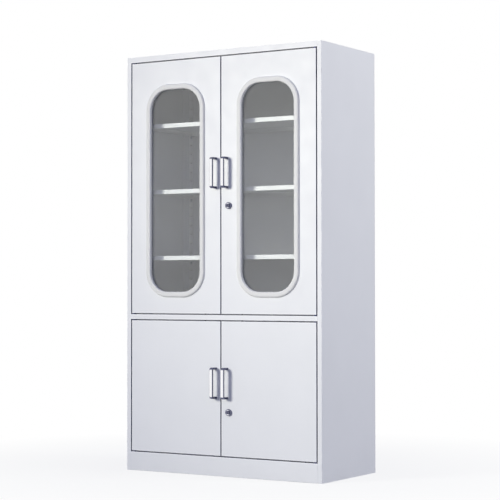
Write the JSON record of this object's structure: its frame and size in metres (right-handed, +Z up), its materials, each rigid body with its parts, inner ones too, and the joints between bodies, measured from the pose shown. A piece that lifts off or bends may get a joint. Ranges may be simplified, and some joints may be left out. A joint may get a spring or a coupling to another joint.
{
  "type": "sterilization cabinet",
  "caption": "Tall white steel cabinet for sterile instruments: glazed upper doors in rounded window trims, plain lower doors, bow handles, cam locks, slotted posts and shelves.",
  "frame": {"origin": "on the floor, in the middle of the outline that the cabinet and its handles fill", "axes": "+X to the right of someone who faces the doors, the doors face -Y, +Z up"},
  "size_m": [0.95, 0.485, 1.75],
  "materials": {
    "cabinet_steel": "white powder coat with a fine orange-peel texture",
    "inner_steel": "light grey powder coat",
    "window_trim": "white moulding with a soft sheen",
    "glass": "clear flat glass",
    "handle_chrome": "polished chrome plate",
    "lock_chrome": "chrome plate",
    "zinc_steel": "zinc-plated steel",
    "nylon": "off-white nylon",
    "rubber": "dark rubber",
    "black_plastic": "dark moulded plastic"
  },
  "bodies": {
    "carcass": {"left_side_panel": "cabinet_steel", "right_side_panel": "cabinet_steel", "top_panel": "cabinet_steel", "middle_deck": "cabinet_steel", "base_deck": "cabinet_steel", "upper_back_panel": "cabinet_steel", "lower_back_panel": "cabinet_steel", "rear_shelf_uprights": "inner_steel", "top_shelf": "inner_steel", "middle_shelf": "inner_steel", "bottom_shelf": "inner_steel", "lower_shelf": "inner_steel", "shelf_clips": "zinc_steel", "hinge_bushes": "nylon", "door_buffers": "rubber", "catch_housings": "black_plastic", "catch_magnets": "zinc_steel"},
    "upper_left_door": {"upper_left_door_pan": "cabinet_steel", "upper_left_window_trim": "window_trim", "upper_left_glass": "glass", "upper_left_glass_retainer": "inner_steel", "upper_left_handle": "handle_chrome", "upper_left_handle_screws": "zinc_steel", "upper_left_pivots": "zinc_steel", "upper_left_bolt_guides": "zinc_steel"},
    "upper_right_door": {"upper_right_door_pan": "cabinet_steel", "upper_right_window_trim": "window_trim", "upper_right_glass": "glass", "upper_right_glass_retainer": "inner_steel", "upper_right_handle": "handle_chrome", "upper_right_handle_screws": "zinc_steel", "upper_right_pivots": "zinc_steel", "rod_guides": "nylon", "upper_lock_barrel": "lock_chrome", "upper_lock_nut": "zinc_steel"},
    "lower_left_door": {"lower_left_door_pan": "cabinet_steel", "lower_left_stiffener": "cabinet_steel", "lower_left_handle": "handle_chrome", "lower_left_handle_screws": "zinc_steel", "lower_left_pivots": "zinc_steel", "lower_left_bolt_guides": "zinc_steel"},
    "lower_right_door": {"lower_right_door_pan": "cabinet_steel", "lower_right_stiffener": "cabinet_steel", "lower_right_handle": "handle_chrome", "lower_right_handle_screws": "zinc_steel", "lower_right_pivots": "zinc_steel", "lower_lock_barrel": "lock_chrome", "lower_lock_nut": "zinc_steel"},
    "upper_lock": {"upper_lock_plug": "lock_chrome", "upper_lock_driver": "zinc_steel", "upper_lock_tongue": "zinc_steel"},
    "lower_lock": {"lower_lock_plug": "lock_chrome", "lower_lock_tongue": "zinc_steel"},
    "top_rod": {"top_locking_rod": "zinc_steel"},
    "bottom_rod": {"bottom_locking_rod": "zinc_steel"},
    "upper_left_top_bolt": {"upper_left_top_bolt": "lock_chrome"},
    "upper_left_bottom_bolt": {"upper_left_bottom_bolt": "lock_chrome"},
    "lower_left_top_bolt": {"lower_left_top_bolt": "lock_chrome"},
    "lower_left_bottom_bolt": {"lower_left_bottom_bolt": "lock_chrome"}
  },
  "joints": [
    {"name": "upper_left_door_hinge", "type": "hinge", "parent": "carcass", "child": "upper_left_door", "pos_m": [-0.4425, -0.2, 0.6635], "axis": [0, 0, -1], "range_deg": [0, 105]},
    {"name": "upper_right_door_hinge", "type": "hinge", "parent": "carcass", "child": "upper_right_door", "pos_m": [0.4425, -0.2, 0.6635], "axis": [0, 0, 1], "range_deg": [0, 105]},
    {"name": "lower_left_door_hinge", "type": "hinge", "parent": "carcass", "child": "lower_left_door", "pos_m": [-0.4425, -0.2, 0.083], "axis": [0, 0, -1], "range_deg": [0, 105]},
    {"name": "lower_right_door_hinge", "type": "hinge", "parent": "carcass", "child": "lower_right_door", "pos_m": [0.4425, -0.2, 0.083], "axis": [0, 0, 1], "range_deg": [0, 105]},
    {"name": "upper_lock_turn", "type": "hinge", "parent": "upper_right_door", "child": "upper_lock", "pos_m": [0.03875, -0.2075, 1.107], "axis": [0, 1, 0], "range_deg": [0, 90]},
    {"name": "lower_lock_turn", "type": "hinge", "parent": "lower_right_door", "child": "lower_lock", "pos_m": [0.03875, -0.2075, 0.2625], "axis": [0, 1, 0], "range_deg": [0, 90]},
    {"name": "top_rod_slide", "type": "slide", "parent": "upper_right_door", "child": "top_rod", "axis": [0, 0, 1], "range_m": [0, 0.0184]},
    {"name": "bottom_rod_slide", "type": "slide", "parent": "upper_right_door", "child": "bottom_rod", "axis": [0, 0, -1], "range_m": [0, 0.0184]},
    {"name": "upper_left_top_bolt_slide", "type": "slide", "parent": "upper_left_door", "child": "upper_left_top_bolt", "axis": [0, 0, 1], "range_m": [0, 0.014]},
    {"name": "upper_left_bottom_bolt_slide", "type": "slide", "parent": "upper_left_door", "child": "upper_left_bottom_bolt", "axis": [0, 0, -1], "range_m": [0, 0.014]},
    {"name": "lower_left_top_bolt_slide", "type": "slide", "parent": "lower_left_door", "child": "lower_left_top_bolt", "axis": [0, 0, 1], "range_m": [0, 0.014]},
    {"name": "lower_left_bottom_bolt_slide", "type": "slide", "parent": "lower_left_door", "child": "lower_left_bottom_bolt", "axis": [0, 0, -1], "range_m": [0, 0.014]}
  ],
  "couplings": [
    {"joint": "top_rod_slide", "follows": "upper_lock_turn", "m_per_rad": 0.0117},
    {"joint": "bottom_rod_slide", "follows": "upper_lock_turn", "m_per_rad": 0.0117}
  ]
}
